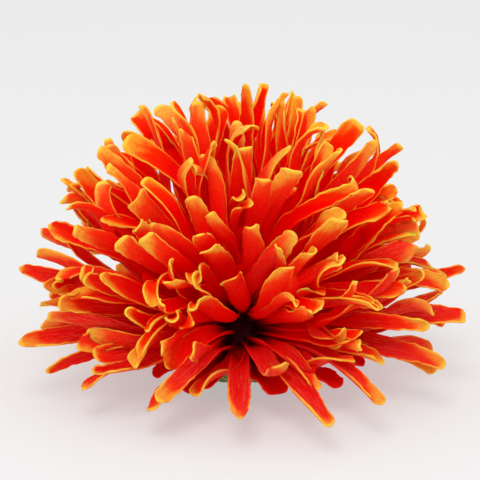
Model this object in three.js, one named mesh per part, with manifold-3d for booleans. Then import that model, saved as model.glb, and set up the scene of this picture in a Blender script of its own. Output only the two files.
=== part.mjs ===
// A picked chrysanthemum bloom, fully open, resting on its flush-cut base.
// Millimetres, +Z up. The origin is the centre of the flat cut face beneath the bloom.

import * as THREE from 'three';
import { mergeVertices } from 'three/addons/utils/BufferGeometryUtils.js';
import Module from 'manifold-3d';

const wasm = await Module();
wasm.setup();

// ---- Driving dimensions ----

// The head as a whole.
const heartHeight = 11;         // the point that the lowest florets' lines meet in, above the cut face
const heartRise = 3.5;          // how much higher the lines of the other florets meet
const reach = 60;               // from the heart to a floret's tip, at the sides
const topReach = 6;             // how much further the florets near the crown reach
const placeCount = 290;         // places in the even spread of florets
const filledEvery = 3;          // one place in so many is filled: the blades are fewer than on a real head
const widening = 1.25;          // and broader by so much
const goldenAngle = 137.50776405;
const lowestLean = 87;          // degrees from straight up, for the spread's lowest florets
const scatter = 4.5;            // degrees that a floret strays from its even place
const drawSeed = 9;

// One floret.
const rootRadius = 8;           // where a floret leaves the real receptacle
const floretWidth = 5.3;
const baseWidthShare = 0.5;     // width at the root, as a share of the full width
const lowBaseShare = 0.85;      // the same for the lowest florets, which are broad from the root on
const rootTwistShare = 0.5;     // how much of its twist a floret has from the root on
const floretThickness = 0.85;   // along the middle, thinning to the margins

// The parting: the florets there stand aside and the head's dark middle shows between them.
const parting = { lean: 72, azimuth: -90, wide: 35, tall: 19, inner: 0.74 };

// The dense middle of the head, where the florets' lower parts are packed together.
const coreRadius = 20;
const coreFloor = 7;            // its flat underside
const rootDepth = 4;            // how far a floret is sunk in it

// The green cup beneath the head, cut off flush with the stem, and the bracts round it.
const cupSide = [[6.5, 0], [8.6, 1.3], [10.6, 3.6], [11.5, 6.6]];   // radius and height
const bractsPerRow = 12;
const bractRows = [
  { base: [7.6, 1.2], tip: [13.0, 4.1], turned: 0 },
  { base: [9.0, 2.7], tip: [14.2, 6.6], turned: 0.5 },
];
const bractWidth = 5.5;
const bractThickness = 1.2;
const bractCupping = 0.7;       // how far its margins lie above its middle

// ---- Looks ----

const floretLook = { color: 0xd8140a, roughness: 0.62, metalness: 0 };
const bractLook = { color: 0x5f7f35, roughness: 0.7, metalness: 0 };

// ---- Small helpers ----

const radians = THREE.MathUtils.degToRad;

function smoothstep(low, high, value) {
  const share = Math.min(1, Math.max(0, (value - low) / (high - low)));
  return share * share * (3 - 2 * share);
}

function mix(low, high, share) {
  return low + (high - low) * share;
}

// A stream of numbers from 0 to 1, the same ones every time.
function drawStream(seed) {
  let state = seed;
  const unit = () => {
    state = (state * 1664525 + 1013904223) % 4294967296;
    return state / 4294967296;
  };
  const around = (middle, spread) => middle + spread * (2 * unit() - 1);
  return { unit, around };
}

function direction(lean, azimuth) {
  const tilt = radians(lean);
  const turn = radians(azimuth);
  return new THREE.Vector3(
    Math.sin(tilt) * Math.cos(turn),
    Math.sin(tilt) * Math.sin(turn),
    Math.cos(tilt),
  );
}

function toSolid(geometry) {
  geometry.deleteAttribute('normal');
  geometry.deleteAttribute('uv');
  const merged = mergeVertices(geometry, 1e-4);
  return new wasm.Manifold(new wasm.Mesh({
    numProp: 3,
    vertProperties: new Float32Array(merged.attributes.position.array),
    triVerts: new Uint32Array(merged.index.array),
  }));
}

function toGeometry(solid) {
  const mesh = solid.getMesh();
  const geometry = new THREE.BufferGeometry();
  geometry.setAttribute('position', new THREE.BufferAttribute(mesh.vertProperties, 3));
  geometry.setIndex(new THREE.BufferAttribute(mesh.triVerts, 1));
  return geometry;
}

// Joins solids into one body. Pieces that fusing cuts loose are dropped, and hollows that it
// seals are filled.
function fuse(solids) {
  const joined = solids.reduce((whole, solid) => whole.add(solid));
  const bodies = joined.decompose();
  bodies.sort((a, b) => b.volume() - a.volume());
  return bodies[0];
}

// ---- The florets' places and habits ----

// Florets set by hand: the lowest ring, the left side and those round the parting.
// Each row is lean, azimuth, length, width, arch, hook, sway, twist.
const leadFlorets = [
  // The lowest ring, from the left side round the front to the right.
  [78, 178, 62, 5.4, -6, -6, 0, -30],
  [83, 202, 63, 7.6, 4, -8, 0, -25],
  [80, 214, 52, 6.6, 6, 10, 14, -30],
  [84, 225, 50, 6.4, 6, -16, -6, -30],
  [88, 248, 53, 6.0, 4, 14, 0, 20],
  [80, 256, 43, 6.6, 16, 75, -30, -30],
  [84, 272, 44, 6.8, 8, 20, -45, 20],
  [89, 270, 57, 6.4, 2, 8, 0, 8],
  [85, 281, 47, 6.2, 8, -70, 0, 10],
  [90, 288, 63, 7.6, 2, 6, 0, -6],
  [84, 287, 47, 7.4, 6, 18, 16, -16],
  [86, 306, 61, 6.6, 8, 16, 4, -10],
  [80, 301, 50, 6.2, 6, -35, 22, 25],
  [83, 318, 47, 6.6, 10, 12, 8, 0],
  [83, 331, 61, 6.2, 10, 8, -4, 25],
  [81, 343, 62, 6.6, 2, 10, 0, 25],
  [76, 5, 64, 5.2, 6, -8, 0, 40],
  // The left side.
  [67, 191, 60, 6.4, -6, 10, 0, 40],
  [67, 217, 56, 6.2, 6, 26, 0, -35],
  [70, 160, 64, 5.0, 4, -10, 0, 60],
  [55, 208, 63, 5.2, 8, 12, 0, 80],
  [55, 225, 56, 5.2, 0, -10, 0, 50],
  [43, 211, 64, 4.8, 0, -30, 10, 100],
  [36, 199, 66, 5.6, 0, 10, 0, 80],
  [48, 224, 60, 5.2, 4, 40, 6, 60],
  // Round the parting.
  [44, 250, 51, 6.0, -4, 24, 0, 20],
  [51, 236, 55, 5.6, 2, -20, 6, 40],
  [38, 227, 61, 6.0, 4, 30, 0, 70],
  [37, 252, 54, 6.0, -10, 10, 0, 20],
  [46, 264, 46, 6.4, -12, 30, -14, 20],
  [42, 273, 47, 6.2, -6, -70, 30, -20],
  [53, 275, 39, 6.0, -16, 40, -24, 10],
  [52, 247, 43, 6.0, -10, 90, 0, 30],
  [45, 284, 50, 6.2, -12, 10, -14, -16],
  [54, 295, 48, 6.6, -12, 10, 6, 10],
  [60, 300, 41, 6.6, -6, 50, 20, 0],
  [65, 290, 44, 6.8, -30, -130, 20, 10],
  [66, 246, 42, 5.6, 10, 60, -10, 70],
  [59, 232, 50, 5.8, 0, 110, 0, 30],
  [49, 311, 55, 6.2, -10, 6, 0, -20],
  [40, 309, 54, 6.0, 6, 30, 0, 30],
  [43, 334, 60, 5.8, 4, 20, -10, 40],
  [40, 320, 60, 6.2, 0, 10, 6, -20],
  [65, 309, 56, 6.2, 8, 20, 6, -30],
  [30, 322, 63, 6.4, 0, 12, 0, 0],
  [31, 284, 58, 6.2, 0, 10, 0, 0],
  [30, 294, 60, 6.4, 0, 14, 0, -12],
  [21, 276, 62, 6.2, 4, 20, -8, 10],
  [21, 224, 64, 6.2, 0, 8, 0, 0],
];
const leadRoom = 5;             // degrees that a hand-set floret keeps free around itself

// 1 in the lowest ring, 0 in the rest of the head.
function lowness(lean) {
  return smoothstep(76, 88, lean);
}

// Moves a floret's place out of the parting and towards its rim.
function openParting(lean, azimuth) {
  const turn = azimuth - parting.azimuth;
  const across = ((turn + 180) % 360 + 360) % 360 - 180;
  const wide = across * Math.sin(radians(lean)) / parting.wide;
  const tall = (lean - parting.lean) / parting.tall;
  const distance = Math.hypot(wide, tall);
  if (distance >= 1 || distance < 1e-6) return { lean, azimuth };
  const push = (parting.inner + (1 - parting.inner) * distance) / distance;
  return {
    lean: parting.lean + (lean - parting.lean) * push,
    azimuth: parting.azimuth + across * push,
  };
}

function floretRows() {
  const draws = drawStream(drawSeed);
  const rows = [];

  for (const [lean, azimuth, length, width, arch, hook, sway, twist] of leadFlorets) {
    const fold = draws.around(0.8, 0.3);
    const blunt = draws.around(0.5, 0.3);
    const ripple = draws.around(0, 0.35);
    const tone = draws.unit();
    const swing = sway + draws.around(0, 20);
    const taper = draws.around(0.85, 0.2);
    const wave = draws.around(0, 25);
    rows.push({
      lean, azimuth, length, width, arch, hook, sway, swing, twist, fold, taper, wave, blunt, ripple, tone,
    });
  }

  const leads = rows.map((row) => direction(row.lean, row.azimuth));
  const middle = direction(parting.lean, parting.azimuth);
  const lowCos = Math.cos(radians(lowestLean));
  for (let n = 0; n < placeCount; n += 1) {
    const share = (n + 0.5) / placeCount;
    const evenLean = THREE.MathUtils.radToDeg(Math.acos(1 - share * (1 - lowCos)));
    const strayedLean = evenLean + draws.around(0, scatter);
    const crowding = Math.max(0.3, Math.sin(radians(strayedLean)));
    const strayedAzimuth = n * goldenAngle % 360 + draws.around(0, scatter) / crowding;
    const { lean, azimuth } = openParting(strayedLean, strayedAzimuth);
    const low = lowness(lean);
    const own = direction(lean, azimuth);
    const fromParting = THREE.MathUtils.radToDeg(own.angleTo(middle));
    let length = reach + topReach * (1 - smoothstep(15, 65, lean));
    length *= mix(mix(0.74, 1, smoothstep(10, 75, fromParting)), 1, low);
    length *= draws.around(mix(1, 0.94, low), 0.06);
    const width = floretWidth * draws.around(1, 0.25);
    const arch = draws.around(0, 20) * mix(1, 0.6, low);
    const hook = draws.around(5, 85) * mix(1, 0.5, low) * mix(0.5, 1, smoothstep(30, 60, fromParting));
    const sway = draws.around(0, 35);
    const swing = draws.around(0, 60);
    let twist = draws.around(0, 90);
    const fold = draws.around(0.95, 0.45);
    const taper = draws.around(0.8, 0.3);
    const wave = draws.around(0, 50);
    const blunt = draws.around(0.5, 0.35);
    const ripple = draws.around(0, 0.35);
    const tone = draws.unit();
    if (draws.unit() < 0.22) twist *= 1.8;
    if (leads.some((lead) => THREE.MathUtils.radToDeg(own.angleTo(lead)) < leadRoom)) continue;
    if (n % filledEvery > 0) continue;
    rows.push({
      lean, azimuth, length, width, arch, hook, sway, swing, twist, fold, taper, wave, blunt, ripple, tone,
    });
  }
  return rows;
}

// ---- One floret ----

const spineSteps = 16;

// Follows a floret from its root to its tip. Each station has its point and its own frame:
// along the floret, towards its upper face, and sideways.
function spineOf(row) {
  const up = new THREE.Vector3(0, 0, 1);
  const along = direction(row.lean, row.azimuth);
  const outward = direction(90, row.azimuth);
  const face = outward.multiplyScalar(-Math.cos(radians(row.lean)));
  face.addScaledVector(up, Math.sin(radians(row.lean)));
  face.applyAxisAngle(along, radians(row.twist * rootTwistShare));
  const side = along.clone().cross(face);
  const rise = heartRise * (1 - lowness(row.lean));
  const point = new THREE.Vector3(0, 0, heartHeight + rise).addScaledVector(along, rootRadius);
  const step = (row.length - rootRadius) / spineSteps;
  const stations = [];
  for (let k = 0; k <= spineSteps; k += 1) {
    stations.push({ point: point.clone(), along: along.clone(), face: face.clone(), side: side.clone() });
    const middle = (k + 0.5) / spineSteps;
    const hooked = 4.6 * smoothstep(0.66, 0.92, middle);
    const waved = 3.1 * Math.cos(2 * Math.PI * middle);
    const bend = row.arch * (0.3 + 1.4 * middle) + row.wave * waved + row.hook * hooked;
    const pitch = bend / spineSteps;
    const yaw = mix(row.sway, row.swing, middle) / spineSteps;
    const roll = row.twist * 1.2 * smoothstep(0.15, 0.5, middle) / spineSteps;
    const turn = new THREE.Quaternion().setFromAxisAngle(side, -radians(pitch));
    turn.multiply(new THREE.Quaternion().setFromAxisAngle(face, radians(yaw)));
    turn.multiply(new THREE.Quaternion().setFromAxisAngle(along, radians(roll)));
    along.applyQuaternion(turn).normalize();
    face.applyQuaternion(turn);
    face.addScaledVector(along, -face.dot(along)).normalize();
    side.crossVectors(along, face);
    point.addScaledVector(along, step);
  }
  return stations;
}

function stationAt(stations, share) {
  const place = Math.min(1, Math.max(0, share)) * spineSteps;
  const k = Math.min(Math.floor(place), spineSteps - 1);
  const [before, after] = [stations[k], stations[k + 1]];
  const part = place - k;
  return {
    point: before.point.clone().lerp(after.point, part),
    face: before.face.clone().lerp(after.face, part).normalize(),
    side: before.side.clone().lerp(after.side, part).normalize(),
  };
}

function widthAt(row, share) {
  const base = mix(baseWidthShare, lowBaseShare, lowness(row.lean));
  const grown = mix(base, 1, smoothstep(0, 0.5, share));
  return row.width * widening * grown * mix(1, row.taper, smoothstep(0.75, 1, share));
}

// Where a floret has its rings, as shares of its free length: one more on a strongly bent one.
function ringShares(row) {
  const bent = Math.abs(row.hook) + Math.abs(row.wave) > 85;
  return bent ? [0, 0.3, 0.58, 0.82, 1] : [0, 0.42, 0.76, 1];
}

// One ring of a strap: its left margin, the middle of its upper face, its right margin and the
// middle of its lower face. The margins rise above the middle, so that the strap is channelled.
function strapRing({ point, face, side }, reachSideways, rise, thickness) {
  return [
    point.clone().addScaledVector(side, -reachSideways).addScaledVector(face, rise),
    point.clone().addScaledVector(face, thickness / 2),
    point.clone().addScaledVector(side, reachSideways).addScaledVector(face, rise),
    point.clone().addScaledVector(face, -thickness / 2),
  ];
}

// A closed strap through its rings, from a root point to a tip point. Both of its faces are
// split along the same diagonals.
function strapSolid(rings, root, tip) {
  const points = [...rings.flat(), root, tip];
  const rootIndex = rings.length * 4;
  const tipIndex = rootIndex + 1;
  const faces = [];
  for (let ring = 0; ring < rings.length - 1; ring += 1) {
    const [left, upper, right, lower] = [0, 1, 2, 3].map((corner) => ring * 4 + corner);
    const [leftNext, upperNext, rightNext, lowerNext] = [4, 5, 6, 7].map((corner) => ring * 4 + corner);
    faces.push(left, upper, leftNext, upper, upperNext, leftNext);
    faces.push(upper, right, rightNext, upper, rightNext, upperNext);
    faces.push(right, lower, rightNext, lower, lowerNext, rightNext);
    faces.push(lower, left, leftNext, lower, leftNext, lowerNext);
  }
  const last = (rings.length - 1) * 4;
  for (let corner = 0; corner < 4; corner += 1) {
    const next = (corner + 1) % 4;
    faces.push(rootIndex, next, corner);
    faces.push(tipIndex, last + corner, last + next);
  }
  const geometry = new THREE.BufferGeometry();
  const numbers = points.flatMap((point) => point.toArray());
  geometry.setAttribute('position', new THREE.Float32BufferAttribute(numbers, 3));
  geometry.setIndex(faces);
  return toSolid(geometry);
}

function floretSolid(row) {
  const stations = spineOf(row);
  const rootShare = (coreRadius - rootDepth - rootRadius) / (row.length - rootRadius);
  const tipShare = 1 - row.width * row.taper * mix(0.6, 0.35, row.blunt) / row.length;
  const shares = ringShares(row).map((part) => mix(rootShare, tipShare, part));
  const rings = shares.map((share) => {
    const half = widthAt(row, share) / 2;
    const fold = mix(1.3, row.fold, smoothstep(0.15, 0.7, share));
    const sideways = Math.sin(fold) / fold * half;
    const rise = (1 - Math.cos(fold)) / fold * half;
    return strapRing(stationAt(stations, share), sideways, rise, floretThickness);
  });
  return strapSolid(rings, stationAt(stations, shares[0]).point, stationAt(stations, 1).point);
}

// ---- The head's dense middle ----

function coreSolid() {
  const profile = [new THREE.Vector2(0, coreFloor), new THREE.Vector2(coreRadius * 0.78, coreFloor)];
  const bands = 3;
  for (let band = 0; band <= bands; band += 1) {
    const rise = radians(mix(0, 90, band / bands));
    profile.push(new THREE.Vector2(
      coreRadius * Math.cos(rise),
      heartHeight + coreRadius * Math.sin(rise),
    ));
  }
  profile[profile.length - 1].x = 0;
  const dome = new THREE.LatheGeometry(profile, 10);
  dome.rotateX(Math.PI / 2);
  return toSolid(dome);
}

// ---- The cup and its bracts ----

function cupSolid() {
  const profile = [new THREE.Vector2(0, 0)];
  for (const [radius, height] of cupSide) profile.push(new THREE.Vector2(radius, height));
  profile.push(new THREE.Vector2(0, cupSide[cupSide.length - 1][1]));
  const cup = new THREE.LatheGeometry(profile, bractsPerRow);
  cup.rotateX(Math.PI / 2);
  return toSolid(cup);
}

// A pointed scale that leans out from the cup.
function bractSolid({ base, tip }, azimuth) {
  const outward = direction(90, azimuth);
  const side = direction(90, azimuth - 90);
  const up = new THREE.Vector3(0, 0, 1);
  const start = outward.clone().multiplyScalar(base[0]).addScaledVector(up, base[1]);
  const end = outward.clone().multiplyScalar(tip[0]).addScaledVector(up, tip[1]);
  const face = side.clone().cross(end.clone().sub(start)).normalize();
  const widths = [[0, 0.7], [0.45, 1], [0.8, 0.55]];      // place along it, share of its width
  const rings = widths.map(([share, wide]) => strapRing(
    { point: start.clone().lerp(end, share), face, side },
    bractWidth / 2 * wide,
    bractCupping * wide,
    bractThickness * mix(1, 0.7, share),
  ));
  return strapSolid(rings, start, end);
}

function bracts() {
  const turn = 360 / bractsPerRow;
  return bractRows.flatMap((row) => (
    Array.from({ length: bractsPerRow }, (_, n) => bractSolid(row, (n + row.turned) * turn))
  ));
}

// ---- The bloom ----

function part(name, solid, look) {
  const mesh = new THREE.Mesh(toGeometry(solid), new THREE.MeshStandardMaterial(look));
  mesh.name = name;
  return mesh;
}

const bloom = new THREE.Group();
bloom.add(part('ray_florets', fuse([coreSolid(), ...floretRows().map(floretSolid)]), floretLook));
bloom.add(part('involucre', fuse([cupSolid(), ...bracts()]), bractLook));

export default bloom;
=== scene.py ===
import math
import bmesh
import bpy
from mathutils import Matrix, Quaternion, Vector


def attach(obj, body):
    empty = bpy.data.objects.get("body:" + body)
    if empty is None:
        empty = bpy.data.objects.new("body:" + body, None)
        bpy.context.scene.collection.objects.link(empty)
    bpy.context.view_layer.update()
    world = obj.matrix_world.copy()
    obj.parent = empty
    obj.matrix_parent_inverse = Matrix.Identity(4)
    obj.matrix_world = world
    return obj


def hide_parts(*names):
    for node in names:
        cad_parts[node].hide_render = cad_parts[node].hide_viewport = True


# A picked chrysanthemum bloom: strap florets with yellow tips and margins, the receptacle that
# they are rooted in, and beneath it the green cup with its bracts and the cut end of the stem.

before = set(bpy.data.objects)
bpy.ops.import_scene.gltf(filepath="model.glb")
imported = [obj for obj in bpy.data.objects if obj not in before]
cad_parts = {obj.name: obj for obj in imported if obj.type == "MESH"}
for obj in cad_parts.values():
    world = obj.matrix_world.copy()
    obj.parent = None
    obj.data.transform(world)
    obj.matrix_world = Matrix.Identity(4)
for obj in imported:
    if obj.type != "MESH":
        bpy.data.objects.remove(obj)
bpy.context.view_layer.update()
millimetre = 0.001
print("frame loaded:", ", ".join(sorted(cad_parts)))

cameraView = dict(
    elevation=20,            # degrees above the horizon
    lens=130,
    aim=(0, 0, 11),          # the point that the florets' lines meet in
    frameWidth=130.8,        # millimetres across the picture at that point
    aimPixel=(240, 337),     # where that point is in the picture
    pictureSide=480,
)


def buildCamera(c):
    data = bpy.data.cameras.new("viewCamera")
    data.lens = c["lens"]
    data.clip_start = 0.01
    data.clip_end = 20
    data.shift_x = (c["pictureSide"] / 2 - c["aimPixel"][0]) / c["pictureSide"]
    data.shift_y = (c["aimPixel"][1] - c["pictureSide"] / 2) / c["pictureSide"]
    distance = c["frameWidth"] * c["lens"] / data.sensor_width
    tilt = math.radians(c["elevation"])
    back = Vector((0, -math.cos(tilt), math.sin(tilt)))
    camera = bpy.data.objects.new("viewCamera", data)
    camera.location = (Vector(c["aim"]) + back * distance) * millimetre
    camera.rotation_mode = "QUATERNION"
    camera.rotation_quaternion = (-back).to_track_quat("-Z", "Y")
    bpy.context.scene.collection.objects.link(camera)
    bpy.context.scene.camera = camera
    print("camera placed", round(distance), "mm from the bloom's heart")


buildCamera(cameraView)


# Shared sums and draws

def smoothstep(low, high, value):
    share = min(1.0, max(0.0, (value - low) / (high - low)))
    return share * share * (3 - 2 * share)


def mix(low, high, share):
    return low + (high - low) * share


class DrawStream:            # numbers from 0 to 1, the same ones every time
    factor, step, span = 1664525, 1013904223, 2 ** 32

    def __init__(self, seed):
        self.state = seed

    def unit(self):
        self.state = (self.state * self.factor + self.step) % self.span
        return self.state / self.span

    def around(self, middle, spread):
        return middle + spread * (2 * self.unit() - 1)


def direction(lean, azimuth):
    tilt, turn = math.radians(lean), math.radians(azimuth)
    return Vector((math.sin(tilt) * math.cos(turn), math.sin(tilt) * math.sin(turn), math.cos(tilt)))


def makePiece(name, mesh, materials, node):
    data = bpy.data.meshes.new(name)
    mesh.to_mesh(data)
    mesh.free()
    for polygon in data.polygons:
        polygon.use_smooth = True
    for material in materials:
        data.materials.append(material)
    piece = bpy.data.objects.new(name, data)
    bpy.context.scene.collection.objects.link(piece)
    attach(piece, "root")
    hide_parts(node)
    return piece


def spinProfile(mesh, profile, steps):
    chain = [mesh.verts.new((radius * millimetre, 0, height * millimetre)) for radius, height in profile]
    links = [mesh.edges.new(pair) for pair in zip(chain, chain[1:])]
    bmesh.ops.spin(mesh, geom=chain + links, cent=(0, 0, 0), axis=(0, 0, 1), angle=2 * math.pi,
                   steps=steps, use_merge=True)
    bmesh.ops.remove_doubles(mesh, verts=mesh.verts, dist=1e-6)
    bmesh.ops.recalc_face_normals(mesh, faces=mesh.faces)


# Node trees

class Bench:                 # adds nodes to one tree and wires them
    def __init__(self, tree):
        self.tree = tree

    def put(self, socket, value):
        if isinstance(value, bpy.types.NodeSocket):
            self.tree.links.new(value, socket)
        elif isinstance(value, tuple) and socket.type == "RGBA":
            socket.default_value = value + (1,)
        else:
            socket.default_value = value

    def maths(self, operation, *values, clamp=False):
        node = self.tree.nodes.new("ShaderNodeMath")
        node.operation = operation
        node.use_clamp = clamp
        for socket, value in zip(node.inputs, values):
            self.put(socket, value)
        return node.outputs[0]

    def fade(self, value, low, high):        # 0 up to low, 1 from high on
        node = self.tree.nodes.new("ShaderNodeMapRange")
        node.interpolation_type = "SMOOTHSTEP"
        self.put(node.inputs["Value"], value)
        self.put(node.inputs["From Min"], low)
        self.put(node.inputs["From Max"], high)
        return node.outputs["Result"]

    def colour(self, share, first, second):
        node = self.tree.nodes.new("ShaderNodeMix")
        node.data_type = "RGBA"
        colours = [socket for socket in node.inputs if socket.type == "RGBA"]
        self.put(node.inputs["Factor"], share)
        self.put(colours[0], first)
        self.put(colours[1], second)
        return next(socket for socket in node.outputs if socket.type == "RGBA")

    def vector(self, *values):
        node = self.tree.nodes.new("ShaderNodeCombineXYZ")
        for socket, value in zip(node.inputs, values):
            self.put(socket, value)
        return node.outputs[0]

    def parts(self, value):
        node = self.tree.nodes.new("ShaderNodeSeparateXYZ")
        self.put(node.inputs[0], value)
        return node.outputs

    def noise(self, place, scale, detail=2.0, roughness=0.5):
        node = self.tree.nodes.new("ShaderNodeTexNoise")
        self.put(node.inputs["Vector"], place)
        node.inputs["Scale"].default_value = scale
        node.inputs["Detail"].default_value = detail
        node.inputs["Roughness"].default_value = roughness
        return node.outputs["Fac"]

    def attribute(self, name):
        node = self.tree.nodes.new("ShaderNodeAttribute")
        node.attribute_name = name
        return node.outputs["Fac"]

    def surfaceMap(self):
        return self.parts(self.tree.nodes.new("ShaderNodeUVMap").outputs[0])

    def objectPlace(self):
        return self.tree.nodes.new("ShaderNodeTexCoord").outputs["Object"]

    def group(self, tree, **inputs):
        node = self.tree.nodes.new("ShaderNodeGroup")
        node.node_tree = tree
        for name, value in inputs.items():
            self.put(node.inputs[name], value)
        return node.outputs

    def bump(self, height, strength, distance):
        node = self.tree.nodes.new("ShaderNodeBump")
        self.put(node.inputs["Height"], height)
        node.inputs["Strength"].default_value = strength
        node.inputs["Distance"].default_value = distance
        return node.outputs[0]


def newGroup(name, inputs, outputs):
    tree = bpy.data.node_groups.new(name, "ShaderNodeTree")
    for label in inputs:
        tree.interface.new_socket(label, in_out="INPUT", socket_type="NodeSocketFloat")
    for label in outputs:
        tree.interface.new_socket(label, in_out="OUTPUT", socket_type="NodeSocketFloat")
    bench = Bench(tree)
    return bench, tree.nodes.new("NodeGroupInput").outputs, tree.nodes.new("NodeGroupOutput").inputs


def newMaterial(name, roughness, specular):
    material = bpy.data.materials.new(name)
    material.use_nodes = True
    shader = material.node_tree.nodes["Principled BSDF"]
    shader.inputs["Roughness"].default_value = roughness
    shader.inputs["Specular IOR Level"].default_value = specular
    return material, Bench(material.node_tree), shader.inputs


# Where a floret is yellow: over its tip, and along both margins in its outer half.
# Along runs from the root, 0, to the tip, 1. Across runs from margin to margin.
# A pair gives where a mask starts and where it is full.

yellowMarks = dict(
    marginLead=0.05,         # how much sooner the tip's yellow starts at the margins
    stray=0.1,               # how much its start differs between florets
    slant=0.22,              # painted light: how much sooner it starts on one side, as on the lit half of a folded floret, than on the other
    litSideMix=40,             # turns a floret's tone into its slant
    patchRate=(3, 9, 90),    # how fast the patches change across, along and between florets
    unevenScale=1.4,
    unevenness=0.12,
    tipFull=1.02,
    glowFull=1.0,
    widening=(0.55, 1),      # along the floret, where the margins grow wider
    widened=1.6,
    softEdge=0.6,            # the share of a margin's width over which it fades in
    patchScale=0.9,
    patches=(0.25, 0.6),     # the margins are yellow in patches,
    closed=(0.75, 1),        # which close up towards the tip
    marginRun=(0.55, 0.92),  # along the floret, where the margins turn yellow
    lastEdge=(0.97, 0.99),   # the very end is yellow right across
)


def petalMarksGroup(m):
    bench, given, result = newGroup(
        "petalMarks", ("Along", "Across", "Tone", "TipLength", "GlowLength", "MarginWidth"),
        ("Tip", "Margin", "Glow"))
    along, across, tone = given["Along"], given["Across"], given["Tone"]
    sideways = bench.maths("SUBTRACT", across, 0.5)
    fromMiddle = bench.maths("MULTIPLY", bench.maths("ABSOLUTE", sideways), 2)
    marginLead = bench.maths("MULTIPLY", bench.maths("POWER", fromMiddle, 3), m["marginLead"])
    stray = bench.maths("MULTIPLY", bench.maths("SUBTRACT", tone, 0.5), m["stray"])
    # painted light: each floret's yellow comes in sooner on one side, as on the lit half of its fold
    litSideTurn = bench.maths("SINE", bench.maths("MULTIPLY", tone, m["litSideMix"]))
    slant = bench.maths("MULTIPLY", bench.maths("MULTIPLY", sideways, litSideTurn), m["slant"])
    place = bench.vector(*(bench.maths("MULTIPLY", way, rate)
                           for way, rate in zip((across, along, tone), m["patchRate"])))
    uneven = bench.maths("MULTIPLY", bench.maths("SUBTRACT", bench.noise(place, m["unevenScale"]), 0.5),
                         m["unevenness"])
    reached = bench.maths("ADD", bench.maths("ADD", along, marginLead), bench.maths("ADD", stray, slant))
    reached = bench.maths("ADD", reached, uneven)
    tipStart = bench.maths("SUBTRACT", 1, given["TipLength"])
    glowStart = bench.maths("SUBTRACT", tipStart, given["GlowLength"])
    bench.put(result["Tip"], bench.fade(reached, tipStart, m["tipFull"]))
    bench.put(result["Glow"], bench.fade(reached, glowStart, m["glowFull"]))
    spread = bench.maths("MULTIPLY", bench.fade(along, *m["widening"]), m["widened"])
    width = bench.maths("MULTIPLY", given["MarginWidth"], bench.maths("ADD", spread, 1))
    marginStart = bench.maths("SUBTRACT", 1, width)
    marginFull = bench.maths("ADD", marginStart, bench.maths("MULTIPLY", width, m["softEdge"]))
    margin = bench.fade(fromMiddle, marginStart, marginFull)
    patches = bench.fade(bench.noise(place, m["patchScale"]), *m["patches"])
    closed = bench.fade(along, *m["closed"])
    margin = bench.maths("MULTIPLY", margin, bench.maths("MAXIMUM", patches, closed))
    margin = bench.maths("MULTIPLY", margin, bench.fade(reached, *m["marginRun"]))
    bench.put(result["Margin"], bench.maths("MAXIMUM", margin, bench.fade(along, *m["lastEdge"])))
    return bench.tree


# Fine lengthwise streaks, as of veins in a thin blade

bladeStreaks = dict(
    toneShift=57,            # takes each floret to its own part of the pattern
    veins=dict(across=9, along=3.2, scale=1.6, detail=3),
    hairs=dict(across=26, along=16, scale=1.5, detail=2),
    roughness=0.6,
    streaks=(0.45, 0.68),
    ribsAcross=84,           # how closely the ribs stand
    ribWaver=12,             # how far the veins push them aside
    ribs=(-0.6, 1),
    ribHeight=0.07,
    hairHeight=0.7,
)


def streaksGroup(s):
    bench, given, result = newGroup("streaks", ("Along", "Across", "Tone"), ("Streak", "Rib", "Height"))
    along, across, tone = given["Along"], given["Across"], given["Tone"]
    shift = bench.maths("MULTIPLY", tone, s["toneShift"])

    def drawnOut(form):
        place = bench.vector(bench.maths("MULTIPLY", across, form["across"]),
                             bench.maths("MULTIPLY", along, form["along"]), shift)
        return bench.noise(place, form["scale"], form["detail"], s["roughness"])

    veins, hairs = drawnOut(s["veins"]), drawnOut(s["hairs"])
    streaks = bench.maths("MULTIPLY", bench.maths("ADD", veins, hairs), 0.5)
    bench.put(result["Streak"], bench.fade(streaks, *s["streaks"]))
    ribs = bench.maths("SINE", bench.maths("ADD", bench.maths("MULTIPLY", across, s["ribsAcross"]),
                                           bench.maths("MULTIPLY", veins, s["ribWaver"])))
    bench.put(result["Rib"], bench.fade(ribs, *s["ribs"]))
    ridged = bench.maths("MULTIPLY", ribs, s["ribHeight"])
    haired = bench.maths("MULTIPLY", hairs, s["hairHeight"])
    bench.put(result["Height"], bench.maths("ADD", bench.maths("ADD", veins, ridged), haired))
    return bench.tree


marksGroup = petalMarksGroup(yellowMarks)
veinGroup = streaksGroup(bladeStreaks)


# The florets' red. The outer florets, and here and there an ageing one, are duller, and painted side shade
# darkens those on the flanks.

petalFlesh = dict(           # what both faces share
    # painted shade: each floret darkens towards its root, and further round the parting, as the head is
    # shaded deep inside
    rootShadeColour=(0.08, 0.0, 0.0),
    rootLength=0.16,         # the share of its length that darkens towards the root,
    partingRoot=0.3,         # what the shade round the parting adds to it,
    rootCore=0.15,           # and the share of that stretch that is darkest
    bodyRun=(0.3, 0.75),     # along the floret, from the deep red to the body's
    dullAndShadeReach=0.85,          # how far the outer and ageing florets take on the dull red, and the flank florets the painted side shade
    outerStreaks=0.6,        # how much more their streaks show,
    outerGlowLoss=0.6,       # and how much less the orange below the tip
    outerMarginLoss=0.35,    # and the yellow margins
    grainScale=1500,
    grainDetail=1.0,
    speckles=(0.5, 0.7),
    speckleRun=(0.5, 0.95),  # along the floret, where the speckles come in
    mottles=(0.42, 0.68),
    rimRun=(0.65, 0.95),     # along the floret, from the margin's yellow to the rim's
    grainHeight=0.35,
    bumpStrength=0.55,
    bumpDistance=0.0003,
    sheenTint=(1, 0.55, 0.35),
    fleshWeight=0.8,
    fleshRadius=(1, 0.04, 0.01),
    fleshScale=0.002,
    throughColour=(0.9, 0.0, 0.0),    # stands in for light that comes through the blade
    throughStrength=0.055,
)
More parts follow.
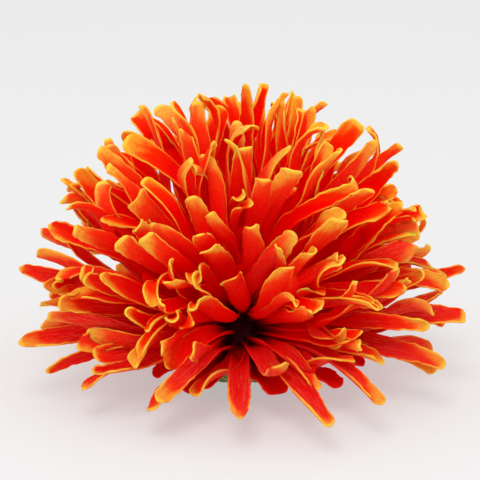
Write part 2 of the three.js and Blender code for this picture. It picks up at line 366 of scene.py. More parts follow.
upperFace = dict(
    deep=(0.89, 0.0, 0.0),
    body=(0.87, 0.0, 0.0),
    ownAndLitOrange=(0.90, 0.045, 0.002),
    tip=(0.88, 0.44, 0.035),
    oldTip=(0.70, 0.33, 0.04),
    margin=(0.90, 0.38, 0.025),
    rim=(0.90, 0.60, 0.06),
    dullAndShadedRed=(0.50, 0.003, 0.004),
    streak=(0.90, 0.07, 0.035),
    oldStreak=(0.72, 0.12, 0.075),
    streakShare=0.01,
    ribShare=0.02,
    grainShare=0.15,
    mottleShare=0.25,
    tipLength=0.11,
    glowLength=0.14,
    marginWidth=0.045,
    roughness=0.7,
    specular=0.02,
)
lowerFace = dict(
    deep=(0.89, 0.0, 0.0),
    body=(0.87, 0.001, 0.0),
    ownAndLitOrange=(0.91, 0.065, 0.008),
    tip=(0.90, 0.47, 0.05),
    oldTip=(0.74, 0.36, 0.06),
    margin=(0.92, 0.41, 0.03),
    rim=(0.92, 0.64, 0.08),
    dullAndShadedRed=(0.55, 0.008, 0.008),
    streak=(0.95, 0.14, 0.08),
    oldStreak=(0.74, 0.16, 0.10),
    streakShare=0.05,
    ribShare=0.05,
    grainShare=0.25,
    mottleShare=0.35,
    tipLength=0.12,
    glowLength=0.17,
    marginWidth=0.06,
    roughness=0.7,
    specular=0.04,
)


def petalMaterial(name, f, p):
    material, bench, shader = newMaterial(name, f["roughness"], f["specular"])
    across, along, _ = bench.surfaceMap()
    tone = bench.attribute("tone")
    # dull on the outer and ageing florets, and painted side shade on the flank florets
    dullAndSideShade = bench.attribute("dullAndSideShade")
    shaded = bench.maths("MULTIPLY", bench.attribute("shaded"), p["partingRoot"])
    darkLength = bench.maths("ADD", p["rootLength"], shaded)
    rootShade = bench.fade(along, darkLength, bench.maths("MULTIPLY", darkLength, p["rootCore"]))
    marks = bench.group(marksGroup, Along=along, Across=across, Tone=tone,
                        TipLength=f["tipLength"], GlowLength=f["glowLength"],
                        MarginWidth=f["marginWidth"])
    veins = bench.group(veinGroup, Along=along, Across=across, Tone=tone)
    bodyRun = bench.fade(along, *p["bodyRun"])
    body = bench.colour(bodyRun, f["deep"], f["body"])
    body = bench.colour(bench.maths("MULTIPLY", dullAndSideShade, p["dullAndShadeReach"]), body, f["dullAndShadedRed"])

    streakShare = bench.maths("ADD", f["streakShare"], bench.maths("MULTIPLY", dullAndSideShade, p["outerStreaks"]))
    streaked = bench.maths("MULTIPLY", veins["Streak"], streakShare)
    streaked = bench.maths("ADD", streaked, bench.maths("MULTIPLY", veins["Rib"], f["ribShare"]))
    streaked = bench.maths("MULTIPLY", streaked, bodyRun, clamp=True)
    body = bench.colour(streaked, body, bench.colour(dullAndSideShade, f["streak"], f["oldStreak"]))
    grain = bench.noise(bench.objectPlace(), p["grainScale"], p["grainDetail"])
    speckled = bench.maths("MULTIPLY", bench.fade(grain, *p["speckles"]), bench.fade(along, *p["speckleRun"]))
    body = bench.colour(bench.maths("MULTIPLY", speckled, f["grainShare"]), body, f["streak"])

    # the orange below the tip: partly the floret's own colour, partly painted light on its lit outer part
    glowShare = bench.maths("SUBTRACT", 1, bench.maths("MULTIPLY", dullAndSideShade, p["outerGlowLoss"]))
    body = bench.colour(bench.maths("MULTIPLY", marks["Glow"], glowShare), body, f["ownAndLitOrange"])
    mottled = bench.maths("MULTIPLY", bench.fade(grain, *p["mottles"]), f["mottleShare"])
    tipShare = bench.maths("MULTIPLY", marks["Tip"], bench.maths("SUBTRACT", 1, mottled))
    body = bench.colour(tipShare, body, bench.colour(dullAndSideShade, f["tip"], f["oldTip"]))
    rimColour = bench.colour(bench.fade(along, *p["rimRun"]), f["margin"], f["rim"])
    rimShare = bench.maths("SUBTRACT", 1, bench.maths("MULTIPLY", dullAndSideShade, p["outerMarginLoss"]))
    body = bench.colour(bench.maths("MULTIPLY", marks["Margin"], rimShare), body, rimColour)
    # painted shade towards the root, deeper round the parting
    body = bench.colour(rootShade, body, p["rootShadeColour"])
    bench.put(shader["Base Color"], body)

    height = bench.maths("ADD", veins["Height"], bench.maths("MULTIPLY", grain, p["grainHeight"]))
    bench.put(shader["Normal"], bench.bump(height, p["bumpStrength"], p["bumpDistance"]))
    bench.put(shader["Specular Tint"], p["sheenTint"])
    shader["Subsurface Weight"].default_value = p["fleshWeight"]
    shader["Subsurface Radius"].default_value = p["fleshRadius"]
    shader["Subsurface Scale"].default_value = p["fleshScale"]
    bench.put(shader["Emission Color"], bench.colour(rootShade, p["throughColour"], (0.0, 0.0, 0.0)))
    shader["Emission Strength"].default_value = p["throughStrength"]
    return material


# The bloom's florets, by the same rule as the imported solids, with every place filled

bloom = dict(
    heartHeight=11,          # where the lowest florets' lines meet
    heartRise=3.5,           # how much higher the other florets' lines meet
    lowLeans=(76, 88),       # between these leans a floret comes to count as one of the lowest
    reach=60,                # from the heart to a floret's tip, at the sides
    topReach=6,              # how much further the florets near the crown reach
    crownLeans=(15, 65),     # where that further reach begins to end, and where it is gone
    lengthSpread=0.06,
    lowLength=0.94,          # the lowest florets' share of that length
    placeCount=290,
    goldenAngle=137.50776405,
    lowestLean=87,           # degrees from straight up
    scatter=4.5,             # degrees that a floret strays from its even place
    leastCrowding=0.3,       # keeps the florets at the crown from straying all the way round
    drawSeed=9,
    fineSeed=41,
    rootRadius=8,
    floretWidth=5.3,
    widthSpread=0.25,
    baseWidthShare=0.5,
    lowBaseShare=0.85,       # the lowest florets are broad from the root on
    fullWidthFrom=0.5,       # along the floret
    taperFrom=0.75,
    thickness=0.4,
    partingLean=72,          # the florets stand aside here, and the dark middle shows
    partingAzimuth=-90,
    partingWide=35,
    partingTall=19,
    partingInner=0.74,
    partingLength=0.74,      # the share of their length that the florets nearest it keep,
    lengthReach=(10, 75),    # and the degrees from its middle over which they get it all back
    partingHook=0.5,         # the same for their hook
    hookReach=(30, 60),
    leadRoom=5,              # degrees that a listed floret keeps free around itself
    spineSteps=16,
    facesAcross=8,
    facesAlong=28,
    tipCrowding=1.35,        # above 1, the rows of faces stand closer towards the tip
)

# Habits of the florets. A pair is the middle and the spread of a draw. Arch, hook, sway, swing,
# twist and wave are degrees, fold is radians, ripple is millimetres, and the others are shares.
leadHabits = dict(           # of the florets listed one by one
    fold=(0.8, 0.3),
    blunt=(0.5, 0.3),
    ripple=(0, 0.35),
    swing=(0, 20),           # added to the row's own sway
    taper=(0.85, 0.2),
    wave=(0, 25),
)
placedHabits = dict(         # of the florets that follow the rule
    arch=(0, 20),
    hook=(5, 85),
    sway=(0, 35),
    swing=(0, 60),
    twist=(0, 90),
    fold=(0.95, 0.45),
    taper=(0.8, 0.3),
    wave=(0, 50),
    blunt=(0.5, 0.35),
    ripple=(0, 0.35),
    lowArch=0.6,             # the lowest florets arch less,
    lowHook=0.5,             # and hook less
    edgeShare=0.22,          # this share of the florets turns right on edge,
    edgeTwist=1.8,           # with its twist made so many times stronger
)
innerFlorets = dict(         # short ones that fill the middle of the head
    count=120,
    reach=29,
    width=7.5,
    lowestLean=98,
    clearing=1.3,            # how far past the parting's rim they leave it open,
    clearingLean=86,         # as far down as this
    lowLength=1.3,
    lengthSpread=0.15,
    widthSpread=0.15,
    arch=(0, 10),
    sway=(0, 15),
    wave=(0, 20),
    fold=(0.7, 0.2),
    taper=0.8,
    blunt=0.5,
)

# Florets listed one by one: the lowest ring, the left side and those round the parting.
# Each row is lean, azimuth, length, width, arch, hook, sway, twist.
leadFlorets = (
    # The lowest ring, from the left side round the front to the right.
    (78, 178, 62, 5.4, -6, -6, 0, -30),
    (83, 202, 63, 7.6, 4, -8, 0, -25),
    (80, 214, 52, 6.6, 6, 10, 14, -30),
    (84, 225, 50, 6.4, 6, -16, -6, -30),
    (88, 248, 53, 6.0, 4, 14, 0, 20),
    (80, 256, 43, 6.6, 16, 75, -30, -30),
    (84, 272, 44, 6.8, 8, 20, -45, 20),
    (89, 270, 57, 6.4, 2, 8, 0, 8),
    (85, 281, 47, 6.2, 8, -70, 0, 10),
    (90, 288, 63, 7.6, 2, 6, 0, -6),
    (84, 287, 47, 7.4, 6, 18, 16, -16),
    (86, 306, 61, 6.6, 8, 16, 4, -10),
    (80, 301, 50, 6.2, 6, -35, 22, 25),
    (83, 318, 47, 6.6, 10, 12, 8, 0),
    (83, 331, 61, 6.2, 10, 8, -4, 25),
    (81, 343, 62, 6.6, 2, 10, 0, 25),
    (76, 5, 64, 5.2, 6, -8, 0, 40),
    # The left side.
    (67, 191, 60, 6.4, -6, 10, 0, 40),
    (67, 217, 56, 6.2, 6, 26, 0, -35),
    (70, 160, 64, 5.0, 4, -10, 0, 60),
    (55, 208, 63, 5.2, 8, 12, 0, 80),
    (55, 225, 56, 5.2, 0, -10, 0, 50),
    (43, 211, 64, 4.8, 0, -30, 10, 100),
    (36, 199, 66, 5.6, 0, 10, 0, 80),
    (48, 224, 60, 5.2, 4, 40, 6, 60),
    # Round the parting.
    (44, 250, 51, 6.0, -4, 24, 0, 20),
    (51, 236, 55, 5.6, 2, -20, 6, 40),
    (38, 227, 61, 6.0, 4, 30, 0, 70),
    (37, 252, 54, 6.0, -10, 10, 0, 20),
    (46, 264, 46, 6.4, -12, 30, -14, 20),
    (42, 273, 47, 6.2, -6, -70, 30, -20),
    (53, 275, 39, 6.0, -16, 40, -24, 10),
    (52, 247, 43, 6.0, -10, 90, 0, 30),
    (45, 284, 50, 6.2, -12, 10, -14, -16),
    (54, 295, 48, 6.6, -12, 10, 6, 10),
    (60, 300, 41, 6.6, -6, 50, 20, 0),
    (65, 290, 44, 6.8, -30, -130, 20, 10),
    (66, 246, 42, 5.6, 10, 60, -10, 70),
    (59, 232, 50, 5.8, 0, 110, 0, 30),
    (49, 311, 55, 6.2, -10, 6, 0, -20),
    (40, 309, 54, 6.0, 6, 30, 0, 30),
    (43, 334, 60, 5.8, 4, 20, -10, 40),
    (40, 320, 60, 6.2, 0, 10, 6, -20),
    (65, 309, 56, 6.2, 8, 20, 6, -30),
    (30, 322, 63, 6.4, 0, 12, 0, 0),
    (31, 284, 58, 6.2, 0, 10, 0, 0),
    (30, 294, 60, 6.4, 0, 14, 0, -12),
    (21, 276, 62, 6.2, 4, 20, -8, 10),
    (21, 224, 64, 6.2, 0, 8, 0, 0),
)


def lowness(b, lean):                        # 1 in the lowest ring, 0 in the rest of the head
    return smoothstep(*b["lowLeans"], lean)


def partingOffset(b, lean, azimuth):         # degrees round from its middle, and 1 at its rim
    across = (azimuth - b["partingAzimuth"] + 180) % 360 - 180
    wide = across * math.sin(math.radians(lean)) / b["partingWide"]
    tall = (lean - b["partingLean"]) / b["partingTall"]
    return across, math.hypot(wide, tall)


def openParting(b, lean, azimuth):           # moves a place out of the parting, towards its rim
    across, distance = partingOffset(b, lean, azimuth)
    if distance >= 1 or distance < 1e-6:     # outside it, or right at its middle
        return lean, azimuth
    push = (b["partingInner"] + (1 - b["partingInner"]) * distance) / distance
    return b["partingLean"] + (lean - b["partingLean"]) * push, b["partingAzimuth"] + across * push


def fromParting(b, lean, azimuth):           # degrees
    parting = direction(b["partingLean"], b["partingAzimuth"])
    return math.degrees(direction(lean, azimuth).angle(parting))


def leadRow(lead, h, draws):
    row = dict(zip(("lean", "azimuth", "length", "width", "arch", "hook", "sway", "twist"), lead))
    row["fold"] = draws.around(*h["fold"])
    row["blunt"] = draws.around(*h["blunt"])
    row["ripple"] = draws.around(*h["ripple"])
    row["tone"] = draws.unit()
    row["swing"] = row["sway"] + draws.around(*h["swing"])
    row["taper"] = draws.around(*h["taper"])
    row["wave"] = draws.around(*h["wave"])
    return row


def placedRow(b, n, h, draws):
    lowCos = math.cos(math.radians(b["lowestLean"]))
    share = (n + 0.5) / b["placeCount"]
    lean = math.degrees(math.acos(1 - share * (1 - lowCos))) + draws.around(0, b["scatter"])
    crowding = max(b["leastCrowding"], math.sin(math.radians(lean)))
    azimuth = n * b["goldenAngle"] % 360 + draws.around(0, b["scatter"]) / crowding
    lean, azimuth = openParting(b, lean, azimuth)
    low = lowness(b, lean)
    away = fromParting(b, lean, azimuth)
    length = b["reach"] + b["topReach"] * (1 - smoothstep(*b["crownLeans"], lean))
    length *= mix(mix(b["partingLength"], 1, smoothstep(*b["lengthReach"], away)), 1, low)
    calm = mix(b["partingHook"], 1, smoothstep(*b["hookReach"], away))
    row = dict(lean=lean, azimuth=azimuth)
    row["length"] = length * draws.around(mix(1, b["lowLength"], low), b["lengthSpread"])
    row["width"] = b["floretWidth"] * draws.around(1, b["widthSpread"])
    row["arch"] = draws.around(*h["arch"]) * mix(1, h["lowArch"], low)
    row["hook"] = draws.around(*h["hook"]) * mix(1, h["lowHook"], low) * calm
    row["sway"] = draws.around(*h["sway"])
    row["swing"] = draws.around(*h["swing"])
    row["twist"] = draws.around(*h["twist"])
    row["fold"] = draws.around(*h["fold"])
    row["taper"] = draws.around(*h["taper"])
    row["wave"] = draws.around(*h["wave"])
    row["blunt"] = draws.around(*h["blunt"])
    row["ripple"] = draws.around(*h["ripple"])
    row["tone"] = draws.unit()
    if draws.unit() < h["edgeShare"]:
        row["twist"] *= h["edgeTwist"]
    return row


# What the imported solids leave out: the cut of the tip, the unevenness of the margins, where
# the florets carry painted shade, and where they are dull

fineForm = dict(
    shadedWithin=(15, 55),   # degrees from the parting's middle, from full shade to none
    # painted side shade: florets on the flanks are darkened as though less lit
    sideShadeLeans=(48, 80),     # the further out a floret leans between these,
    sideShadeFrom=(35, 60),      # and the further it is from the parting, the more painted side shade darkens it
    ageing=0.45,             # a few others are dull up to this share,
    ageingTones=(0.75, 0.95),    # by their tone
    innerMarks=0.5,          # keeps the inner florets red to their tips
    pointed=(0.5, 0.95),     # the draws at which a tip starts to be pointed, and is so in full
    notch=(-0.2, 0.5),       # from here on, the middle and the spread of each draw
    slant=(0, 0.5),
    hood=(0.1, 0.7),         # radians that the tip folds more than the rest
    ruffle=(0.5, 0.4),       # millimetres
    ruffleTurns=(2.6, 1.1),
    fray=(0.1, 0.06),        # millimetres
)


def addFineForm(row, b, f, draws):
    away = fromParting(b, row["lean"], row["azimuth"])
    # painted side shade, darkening the florets on the flanks
    sideShade = smoothstep(*f["sideShadeLeans"], row["lean"]) * smoothstep(*f["sideShadeFrom"], away)
    ageing = f["ageing"] * smoothstep(*f["ageingTones"], row["tone"])
    # how much painted shade round the parting darkens this floret's root
    row["shaded"] = 1 - smoothstep(*f["shadedWithin"], away)
    row["dullAndSideShade"] = max(lowness(b, row["lean"]), sideShade, ageing)
    row["markedLength"] = f["innerMarks"] if "inner" in row else 1
    row["pointed"] = smoothstep(*f["pointed"], draws.unit())
    row["notch"] = max(0.0, draws.around(*f["notch"]))
    row["slant"] = draws.around(*f["slant"])
    row["hood"] = draws.around(*f["hood"])
    row["ruffle"] = draws.around(*f["ruffle"])
    row["ruffleTurns"] = draws.around(*f["ruffleTurns"])
    row["rufflePhase"] = 2 * math.pi * draws.unit()
    row["fray"] = draws.around(*f["fray"])


# Short florets deep in the head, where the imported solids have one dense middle
def innerRows(b, i, draws):
    rows = []
    lowCos = math.cos(math.radians(i["lowestLean"]))
    for n in range(i["count"]):
        lean = math.degrees(math.acos(1 - (n + 0.5) / i["count"] * (1 - lowCos)))
        azimuth = n * b["goldenAngle"] % 360
        if lean < i["clearingLean"] and partingOffset(b, lean, azimuth)[1] < i["clearing"]:
            continue
        row = dict(lean=lean, azimuth=azimuth, hook=0, twist=0, ripple=0, inner=True)
        row["taper"], row["blunt"] = i["taper"], i["blunt"]
        length = i["reach"] * mix(1, i["lowLength"], lowness(b, lean))
        row["length"] = length * draws.around(1, i["lengthSpread"])
        row["width"] = i["width"] * draws.around(1, i["widthSpread"])
        row["arch"] = draws.around(*i["arch"])
        row["sway"] = row["swing"] = draws.around(*i["sway"])
        row["wave"] = draws.around(*i["wave"])
        row["fold"] = draws.around(*i["fold"])
        row["tone"] = draws.unit()
        rows.append(row)
    return rows


def floretRows(b):
    draws = DrawStream(b["drawSeed"])
    rows = [leadRow(lead, leadHabits, draws) for lead in leadFlorets]
    leads = [direction(row["lean"], row["azimuth"]) for row in rows]
    for n in range(b["placeCount"]):
        row = placedRow(b, n, placedHabits, draws)
        own = direction(row["lean"], row["azimuth"])
        if all(math.degrees(own.angle(lead)) >= b["leadRoom"] for lead in leads):
            rows.append(row)
    fineDraws = DrawStream(b["fineSeed"])
    rows += innerRows(b, innerFlorets, fineDraws)
    for row in rows:
        addFineForm(row, b, fineForm, fineDraws)
    return rows


# How a floret's line runs from root to tip

spine = dict(
    archAtRoot=0.3,          # how strongly it arches at the root,
    archGrowth=1.4,          # and how much more at the tip
    hookRun=(0.66, 0.92),    # along the floret, where it starts to hook, and where it hooks in full
    hookGain=4.6,            # makes its hook the whole turn over that stretch
    waveGain=3.1,            # makes its wave the whole swing, up and down
    rollRun=(0.15, 0.5),     # along the floret, where it starts to twist, and where it twists in full
    rollGain=1.2,
    rootTwistShare=0.5,      # how much of its twist a floret has from the root on
)


# Follows a floret from root to tip. Each station has its point and its own frame: towards its
# upper face, and sideways.
def spineOf(row, b, s):
    steps = b["spineSteps"]
    along = direction(row["lean"], row["azimuth"])
    lean = math.radians(row["lean"])
    face = Vector((0, 0, 1)) * math.sin(lean) - direction(90, row["azimuth"]) * math.cos(lean)
    face = Quaternion(along, math.radians(row["twist"] * s["rootTwistShare"])) @ face
    side = along.cross(face)
    rise = b["heartRise"] * (1 - lowness(b, row["lean"]))
    point = Vector((0, 0, b["heartHeight"] + rise)) + along * b["rootRadius"]
    step = (row["length"] - b["rootRadius"]) / steps
    stations = [(point, face, side)]
    for k in range(steps):
        middle = (k + 0.5) / steps
        arched = s["archAtRoot"] + s["archGrowth"] * middle
        waved = s["waveGain"] * math.cos(2 * math.pi * middle)
        hooked = s["hookGain"] * smoothstep(*s["hookRun"], middle)
        bend = row["arch"] * arched + row["wave"] * waved + row["hook"] * hooked
        yaw = mix(row["sway"], row["swing"], middle)
        roll = row["twist"] * s["rollGain"] * smoothstep(*s["rollRun"], middle)
        turn = Quaternion(side, math.radians(-bend / steps))
        turn = turn @ Quaternion(face, math.radians(yaw / steps))
        turn = turn @ Quaternion(along, math.radians(roll / steps))
        along = (turn @ along).normalized()
        face = turn @ face
        face = (face - along * face.dot(along)).normalized()
        side = along.cross(face)
        point = point + along * step
        stations.append((point, face, side))
    return stations


def stationAt(stations, share):
    place = min(1.0, max(0.0, share)) * (len(stations) - 1)
    k = min(int(place), len(stations) - 2)
    before, after = stations[k], stations[k + 1]
    point, face, side = (a.lerp(b, place - k) for a, b in zip(before, after))
    return point, face.normalized(), side.normalized()


def widthAt(row, b, share):
    base = mix(b["baseWidthShare"], b["lowBaseShare"], lowness(b, row["lean"]))
    grown = mix(base, 1, smoothstep(0, b["fullWidthFrom"], share))
    return row["width"] * grown * mix(1, row["taper"], smoothstep(b["taperFrom"], 1, share))


blade = dict(
    tipDepth=0.55,           # how far back the tip's cut reaches, as a share of its width
    tipFrom=0.78,            # along the floret, where the blade starts to follow the cut
    roundness=0.985,
    squareDrop=0.4,
    squarePower=4,
    squareShare=0.6,
    sharpDrop=1.5,
    sharpPower=1.3,
    rootFold=1.3,            # every floret is a trough at its root,
    foldRun=(0.15, 0.7),     # and takes on its own fold between these
    hoodFrom=0.75,           # along the floret, where the tip folds over
    freeRun=(0.3, 0.6),      # along the floret, where its margins come free of the others
    rippleTurn=9,
    rippleShift=6,
    rufflePower=3,           # keeps the ruffles near the margins
    ruffleLag=2,             # how far one margin's ruffles run behind the other's
    frayPower=5,
    frayTurns=(53, 97),      # two beats that mix to an uneven one
    frayLags=(3, 2),
)


# How far the tip's outline lies behind its foremost point, in half widths
def tipDrop(row, f, across):
    rounded = 1 - math.sqrt(1 - (f["roundness"] * across) ** 2)
    square = f["squareDrop"] * across ** f["squarePower"]
    sharp = f["sharpDrop"] * abs(across) ** f["sharpPower"]
    drop = mix(mix(rounded, square, row["blunt"] * f["squareShare"]), sharp, row["pointed"])
    return drop + row["notch"] * (1 - abs(across)) ** 2 + row["slant"] * (across + 1) / 2


# How far the blade's margins stray, up and sideways
def marginStray(row, f, across, share):
    free = smoothstep(*f["freeRun"], share)
    rippled = math.sin(f["rippleTurn"] * share + f["rippleShift"] * row["tone"])
    ripple = row["ripple"] * across * abs(across) * rippled * free
    turn = 2 * math.pi * row["ruffleTurns"] * share + row["rufflePhase"]
    ruffled = math.sin(turn + f["ruffleLag"] * across)
    ruffle = row["ruffle"] * free * abs(across) ** f["rufflePower"] * ruffled
    (slow, quick), (slowLag, quickLag) = f["frayTurns"], f["frayLags"]
    frayed = math.sin(slow * share + row["rufflePhase"] + slowLag * across)
    frayed += math.sin(quick * share + quickLag * across)
    return ripple, ruffle, row["fray"] * free * across ** f["frayPower"] * frayed


def addFloret(mesh, row, b, f, uvLayer, traitLayers):
    stations = spineOf(row, b, spine)
    tipLength = row["width"] * row["taper"] * f["tipDepth"] / row["length"]
    grid = bmesh.ops.create_grid(mesh, x_segments=b["facesAcross"], y_segments=b["facesAlong"],
                                 size=1, calc_uvs=True)
    shares = {}
    for vertex in grid["verts"]:
        across, along = vertex.co.x, (vertex.co.y + 1) / 2
        ring = 1 - (1 - along) ** b["tipCrowding"]
        share = ring - tipLength * tipDrop(row, f, across) * smoothstep(f["tipFrom"], 1, along)
        point, face, side = stationAt(stations, share)
        half = widthAt(row, b, ring) / 2
        fold = mix(f["rootFold"], row["fold"], smoothstep(*f["foldRun"], share))
        fold += row["hood"] * smoothstep(f["hoodFrom"], 1, share)
        ripple, ruffle, fray = marginStray(row, f, across, share)
        sideways = math.sin(across * fold) / fold * half + fray
        rise = (1 - math.cos(across * fold)) / fold * half + ripple + ruffle
        vertex.co = (point + side * sideways + face * rise) * millimetre
        for trait, layer in traitLayers.items():
            vertex[layer] = row[trait]
        shares[vertex] = share
    for face in {face for vertex in grid["verts"] for face in vertex.link_faces}:
        for corner in face.loops:
            corner[uvLayer].uv.y = shares[corner.vert] * row["markedLength"]


def buildFlorets(name, rows, b, materials):
    mesh = bmesh.new()
    uvLayer = mesh.loops.layers.uv.verify()
    traits = "tone", "dullAndSideShade", "shaded"
    for trait in traits:
        mesh.verts.layers.float.new(trait)
    traitLayers = {trait: mesh.verts.layers.float[trait] for trait in traits}
    for row in rows:
        addFloret(mesh, row, b, blade, uvLayer, traitLayers)
    piece = makePiece(name, mesh, materials, "ray_florets")
    body = piece.modifiers.new("body", "SOLIDIFY")
    body.thickness = b["thickness"] * millimetre
    body.offset = 0
    body.material_offset = 1                 # the lower face
    print(name, "built with", len(rows), "florets")


tiers = dict(                # from which lean to which each piece reaches
    crownFlorets=(0, 40),
    sideFlorets=(40, 62),
    flankFlorets=(62, 78),
    skirtFlorets=(78, 180),
)


def buildBloom(b):
    materials = [petalMaterial("petalUpperFace", upperFace, petalFlesh),
                 petalMaterial("petalLowerFace", lowerFace, petalFlesh)]
    rows = floretRows(b)
    for tier, (least, most) in tiers.items():
        buildFlorets(tier, [row for row in rows if least <= row["lean"] < most], b, materials)


buildBloom(bloom)


# The receptacle: a low dome, knobbed where the florets are rooted, and painted near black as the shade deep
# in the head

receptacle = dict(
    profile=((0, 5.6), (11.6, 5.6), (12.4, 6.8), (12.0, 8.6), (10.6, 11.5), (8.6, 15.2), (5.6, 18.2),
             (2.6, 19.6), (0, 20)),
    steps=48,
    # painted shade: near black, for the dark deep inside the head
    colour=(0.045, 0.001, 0.001),
    knobColour=(0.09, 0.005, 0.002),
    knobScale=700,
    knobs=(0.45, 0.7),       # the noise at which a knob starts, and is full
    knobBump=0.6,
    knobHeight=0.0006,
    roughness=0.7,
    specular=0.15,
)


def buildReceptacle(r):
    material, bench, shader = newMaterial("receptacleShadeSkin", r["roughness"], r["specular"])
    cells = bench.noise(bench.objectPlace(), r["knobScale"])
    knobs = bench.fade(cells, *r["knobs"])
    bench.put(shader["Base Color"], bench.colour(knobs, r["colour"], r["knobColour"]))
    bench.put(shader["Normal"], bench.bump(cells, r["knobBump"], r["knobHeight"]))
    mesh = bmesh.new()
    spinProfile(mesh, r["profile"], r["steps"])
    makePiece("receptacle", mesh, [material], "ray_florets")
    print("receptacle built")


buildReceptacle(receptacle)


# The green cup beneath, with the flush-cut end of the stem in its middle

cup = dict(
    profile=((0, 0.25), (2.2, 0.25), (2.6, 0), (4.2, 0), (6.2, 0.0), (7.4, 0.35), (8.5, 1.3), (10.1, 3.5),
             (11.0, 6.2), (10.4, 6.5), (0, 6.5)),
    steps=48,
    green=(0.085, 0.17, 0.03),
    pale=(0.24, 0.33, 0.09),
    mottleScale=420,
    mottleDetail=3,
    mottles=(0.35, 0.7),
    bumpStrength=0.4,
    bumpDistance=0.0004,
    roughness=0.6,
    specular=0.3,
    stemRadius=3.9,
    stemEdge=1.06,           # in stem radii, where the cut's colours have faded out
    cutHeights=(0.6, 0.3),   # where they start, coming down, and where they are full
    pith=(0.62, 0.62, 0.36),
    pithScale=1600,
    pithDetail=1,
    pithCells=(0.4, 0.65),
    pithRim=(0.7, 0.85),     # in stem radii, from the pith to the pale rind
)


def buildCup(c):
    material, bench, shader = newMaterial("cupSkin", c["roughness"], c["specular"])
    place = bench.objectPlace()
    x, y, z = bench.parts(place)
    fromAxis = bench.maths("SQRT", bench.maths("ADD", bench.maths("MULTIPLY", x, x),
                                               bench.maths("MULTIPLY", y, y)))
    mottle = bench.noise(place, c["mottleScale"], c["mottleDetail"])
    skin = bench.colour(bench.fade(mottle, *c["mottles"]), c["green"], c["pale"])
    radius = c["stemRadius"] * millimetre
    cutStart, cutFull = (height * millimetre for height in c["cutHeights"])
    onCut = bench.maths("MULTIPLY", bench.fade(fromAxis, radius * c["stemEdge"], radius),
                        bench.fade(z, cutStart, cutFull))
    cells = bench.fade(bench.noise(place, c["pithScale"], c["pithDetail"]), *c["pithCells"])
    pith = bench.colour(cells, c["pith"], c["pale"])
    rimStart, rimFull = (radius * share for share in c["pithRim"])
    cut = bench.colour(bench.fade(fromAxis, rimStart, rimFull), pith, c["pale"])
    bench.put(shader["Base Color"], bench.colour(onCut, skin, cut))
    bench.put(shader["Normal"], bench.bump(mottle, c["bumpStrength"], c["bumpDistance"]))
    mesh = bmesh.new()
    spinProfile(mesh, c["profile"], c["steps"])
    makePiece("cup", mesh, [material], "involucre")
    print("cup built")


buildCup(cup)


# Two rows of bracts round the cup, the upper one turned by half a bract

bracts = dict(
    rows=(                   # base and tip are radius and height
        dict(base=(7.4, 0.9), tip=(12.9, 4.0), width=5.2, turned=0.0),
        dict(base=(8.9, 2.6), tip=(14.0, 6.5), width=5.4, turned=0.5),
    ),
    perRow=12,
    thickness=0.7,
    cupping=1.1,             # how far the margins lie above the middle
    bow=0.9,                 # how far it bows down between base and tip
    lengthSpread=0.05,
    widthSpread=0.08,
    baseWidth=0.7,           # at its base, as a share of the width
    widensTo=0.4,            # along the bract, where it stops widening,
    narrowFrom=0.375,        # and where it starts to narrow to its tip
    tipRoundness=0.97,
    facesAcross=4,
    facesAlong=6,
    smoothLevels=2,
    drawSeed=5,
    green=(0.075, 0.16, 0.028),
    rib=(0.15, 0.25, 0.055),
    rim=(0.40, 0.36, 0.16),
    streakShare=0.5,
    ribMask=(0.22, 0.02),    # from the middle rib, 0, to the margins, 1
    rimMask=(0.72, 0.98),
    tipMask=(0.86, 1),       # along the bract
    bumpStrength=0.4,
    bumpDistance=0.0003,
    roughness=0.62,
    specular=0.3,
)


def bractMaterial(b):
    material, bench, shader = newMaterial("bractSkin", b["roughness"], b["specular"])
    across, along, _ = bench.surfaceMap()
    tone = bench.attribute("tone")
    veins = bench.group(veinGroup, Along=along, Across=across, Tone=tone)
    fromMiddle = bench.maths("MULTIPLY", bench.maths("ABSOLUTE", bench.maths("SUBTRACT", across, 0.5)), 2)
    body = bench.colour(bench.maths("MULTIPLY", veins["Streak"], b["streakShare"]), b["green"], b["rib"])
    body = bench.colour(bench.fade(fromMiddle, *b["ribMask"]), body, b["rib"])
    body = bench.colour(bench.fade(fromMiddle, *b["rimMask"]), body, b["rim"])
    body = bench.colour(bench.fade(along, *b["tipMask"]), body, b["rim"])
    bench.put(shader["Base Color"], body)
    bench.put(shader["Normal"], bench.bump(veins["Height"], b["bumpStrength"], b["bumpDistance"]))
    return material


def bractWidth(b, along):                    # as a share of the full width
    grown = mix(b["baseWidth"], 1, smoothstep(0, b["widensTo"], along))
    narrowing = max(0.0, (along - b["narrowFrom"]) / (1 - b["narrowFrom"]))
    return grown * math.sqrt(1 - b["tipRoundness"] * narrowing ** 2)


def addBract(mesh, form, azimuth, b, toneLayer, draws):
    outward, sideways = direction(90, azimuth), direction(90, azimuth - 90)
    start = outward * form["base"][0] + Vector((0, 0, form["base"][1]))
    end = outward * form["tip"][0] + Vector((0, 0, form["tip"][1]))
    face = sideways.cross(end - start).normalized()
    length = draws.around(1, b["lengthSpread"])
    width = form["width"] * draws.around(1, b["widthSpread"])
    tone = draws.unit()
    grid = bmesh.ops.create_grid(mesh, x_segments=b["facesAcross"], y_segments=b["facesAlong"],
                                 size=1, calc_uvs=True)
    for vertex in grid["verts"]:
        across, along = vertex.co.x, (vertex.co.y + 1) / 2
        wide = bractWidth(b, along)
        point = start.lerp(end, along * length) + sideways * (across * width / 2 * wide)
        lift = b["cupping"] * across ** 2 * wide - b["bow"] * math.sin(math.pi * along)
        vertex.co = (point + face * lift) * millimetre
        vertex[toneLayer] = tone


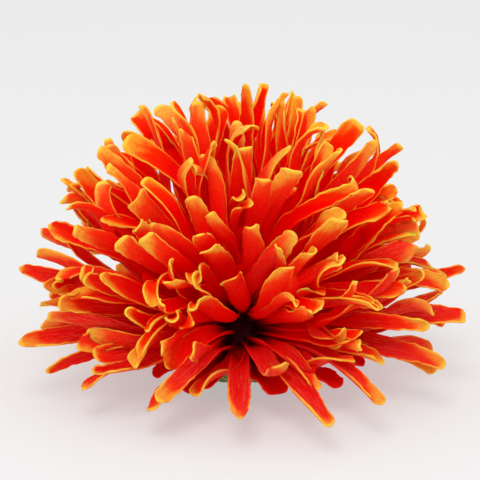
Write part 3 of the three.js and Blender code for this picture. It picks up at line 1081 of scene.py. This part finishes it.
def buildBracts(b):
    draws = DrawStream(b["drawSeed"])
    mesh = bmesh.new()
    mesh.loops.layers.uv.verify()            # the grids fill it
    toneLayer = mesh.verts.layers.float.new("tone")
    for form in b["rows"]:
        for n in range(b["perRow"]):
            addBract(mesh, form, (n + form["turned"]) * 360 / b["perRow"], b, toneLayer, draws)
    piece = makePiece("bracts", mesh, [bractMaterial(b)], "involucre")
    body = piece.modifiers.new("body", "SOLIDIFY")
    body.thickness = b["thickness"] * millimetre
    body.offset = 0
    smooth = piece.modifiers.new("smooth", "SUBSURF")
    smooth.levels = smooth.render_levels = b["smoothLevels"]
    print("bracts built:", b["perRow"] * len(b["rows"]))


buildBracts(bracts)


# Floor and lights

studio = dict(               # in metres
    floorRadius=3.0,
    floorSegments=64,
    floorColour=(0.42, 0.42, 0.42),
    floorShade=0.985,        # the share of the colour that its broad, faint patches have
    floorScale=3,
    floorDetail=1,
    floorPatches=(0.2, 0.8),
    floorGlow=0.40,
    floorRoughness=0.9,
    worldStrength=0.98,
    keyPlace=(-0.08, -0.5, 0.65),
    keyAim=(0, 0, 0.03),
    keyPower=2.2,
    keySize=0.3,
)


def buildStudio(s):
    material, bench, shader = newMaterial("paleFloor", s["floorRoughness"], 0.0)
    patches = bench.noise(bench.objectPlace(), s["floorScale"], s["floorDetail"])
    shade = tuple(s["floorShade"] * level for level in s["floorColour"])
    bench.put(shader["Base Color"],
              bench.colour(bench.fade(patches, *s["floorPatches"]), shade, s["floorColour"]))
    shader["Emission Color"].default_value = (1, 1, 1, 1)
    shader["Emission Strength"].default_value = s["floorGlow"]
    mesh = bmesh.new()
    bmesh.ops.create_circle(mesh, cap_ends=True, segments=s["floorSegments"], radius=s["floorRadius"])
    data = bpy.data.meshes.new("floor")
    mesh.to_mesh(data)
    mesh.free()
    data.materials.append(material)
    floor = bpy.data.objects.new("floor", data)
    bpy.context.scene.collection.objects.link(floor)

    world = bpy.data.worlds.new("studio")
    world.use_nodes = True
    sky = world.node_tree.nodes["Background"].inputs
    sky["Color"].default_value = (1, 1, 1, 1)
    sky["Strength"].default_value = s["worldStrength"]
    bpy.context.scene.world = world

    lamp = bpy.data.lights.new("key", "AREA")
    lamp.energy = s["keyPower"]
    lamp.size = s["keySize"]
    key = bpy.data.objects.new("key", lamp)
    key.location = s["keyPlace"]
    key.rotation_mode = "QUATERNION"
    aim = Vector(s["keyAim"]) - Vector(s["keyPlace"])
    key.rotation_quaternion = aim.to_track_quat("-Z", "Y")
    bpy.context.scene.collection.objects.link(key)
    bpy.context.scene.view_settings.view_transform = "Standard"
    print("floor and lights placed")


buildStudio(studio)
